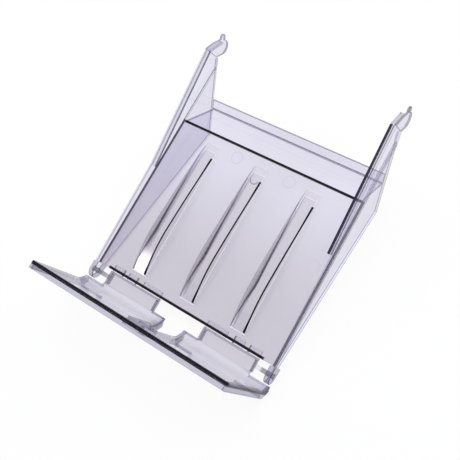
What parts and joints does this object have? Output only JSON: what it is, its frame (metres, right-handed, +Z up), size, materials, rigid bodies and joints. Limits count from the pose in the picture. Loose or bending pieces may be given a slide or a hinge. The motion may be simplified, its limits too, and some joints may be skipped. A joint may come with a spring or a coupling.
{
  "type": "hanging letter tray",
  "caption": "Clear letter tray with a sloping ribbed floor, tall side arms with hooks that hang it on a machine, and a folding stop flap at the front.",
  "frame": {"origin": "centre of the bounding box on the desk plane, with the tray standing on the bottom edges of its side walls", "axes": "+Z up, +X to the tray's right side, -Y to the front where the stop flap is"},
  "size_m": [0.2362, 0.3328, 0.1168],
  "materials": {
    "clear_plastic": "clear, polished, faintly violet"
  },
  "bodies": {
    "tray": {"centre_rib": "clear_plastic", "floor_panel": "clear_plastic", "left_arm_flange": "clear_plastic", "left_hinge_housing": "clear_plastic", "left_hook": "clear_plastic", "left_hook_flange": "clear_plastic", "left_rear_post": "clear_plastic", "left_rib": "clear_plastic", "left_side_arm": "clear_plastic", "left_side_skirt": "clear_plastic", "rear_lip": "clear_plastic", "rear_shelf": "clear_plastic", "right_arm_flange": "clear_plastic", "right_hinge_housing": "clear_plastic", "right_hook": "clear_plastic", "right_hook_flange": "clear_plastic", "right_rear_post": "clear_plastic", "right_rib": "clear_plastic", "right_side_arm": "clear_plastic", "right_side_skirt": "clear_plastic"},
    "stop_flap": {"finger_slot_rim": "clear_plastic", "flap_panel": "clear_plastic", "flap_top_rim": "clear_plastic", "left_flap_arm_skirt": "clear_plastic", "left_flap_base": "clear_plastic", "left_flap_cheek": "clear_plastic", "left_flap_inner_ear": "clear_plastic", "left_flap_inner_lug": "clear_plastic", "left_flap_outer_ear": "clear_plastic", "left_flap_outer_lug": "clear_plastic", "left_flap_side_rim": "clear_plastic", "left_hinge_pin": "clear_plastic", "left_stop_tab_1": "clear_plastic", "left_stop_tab_2": "clear_plastic", "left_stop_tab_3": "clear_plastic", "right_flap_arm_skirt": "clear_plastic", "right_flap_base": "clear_plastic", "right_flap_cheek": "clear_plastic", "right_flap_inner_ear": "clear_plastic", "right_flap_inner_lug": "clear_plastic", "right_flap_outer_ear": "clear_plastic", "right_flap_outer_lug": "clear_plastic", "right_flap_side_rim": "clear_plastic", "right_hinge_pin": "clear_plastic", "right_stop_tab_1": "clear_plastic", "right_stop_tab_2": "clear_plastic", "right_stop_tab_3": "clear_plastic"}
  },
  "joints": [
    {"name": "flap_hinge", "type": "hinge", "parent": "tray", "child": "stop_flap", "pos_m": [0, -0.11478, 0.009], "axis": [-1, 0, 0], "range_deg": [0, 85]}
  ]
}
